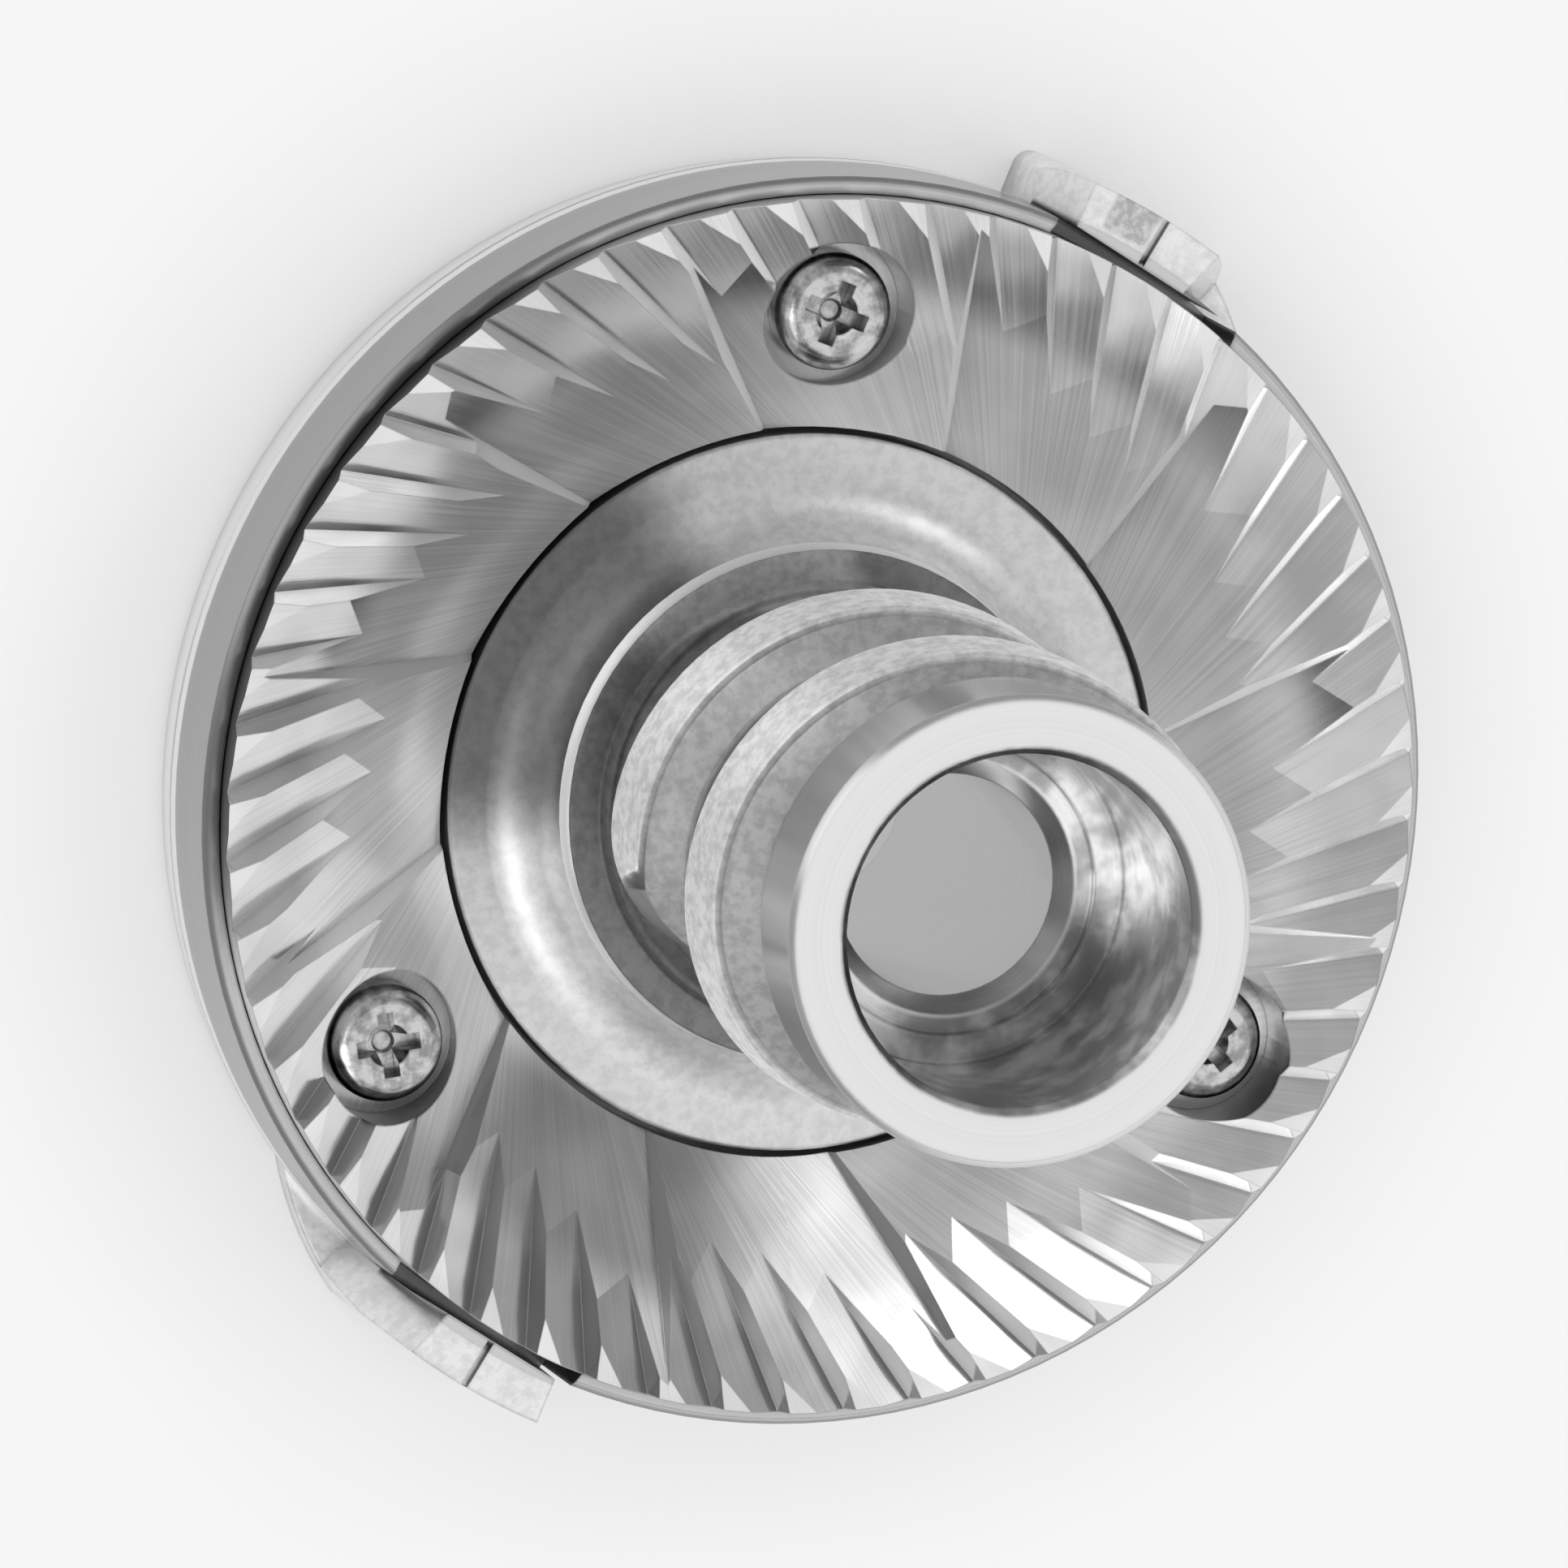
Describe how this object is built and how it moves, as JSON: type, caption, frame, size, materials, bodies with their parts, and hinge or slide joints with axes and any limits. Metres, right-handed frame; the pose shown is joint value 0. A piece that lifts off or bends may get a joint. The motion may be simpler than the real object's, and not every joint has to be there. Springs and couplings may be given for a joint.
{
  "type": "coffee grinder burr",
  "caption": "Flat rotating burr ring screwed into a cast carrier with rim sweepers and a hollow feed hub that bears a screw flight.",
  "frame": {"origin": "on the axis of the hub, at the back face of the carrier", "axes": "+Z along the hub toward its open end; +Y toward the first screw"},
  "size_m": [0.0658, 0.0658, 0.0475],
  "materials": {
    "ground_steel": "ground along the teeth",
    "cast_steel": "fine cast grain, turned where it fits",
    "screw_steel": "bright"
  },
  "bodies": {
    "root": {"burr_ring": "ground_steel", "burr_carrier": "cast_steel", "screw_1": "screw_steel", "screw_2": "screw_steel", "screw_3": "screw_steel"}
  },
  "joints": []
}
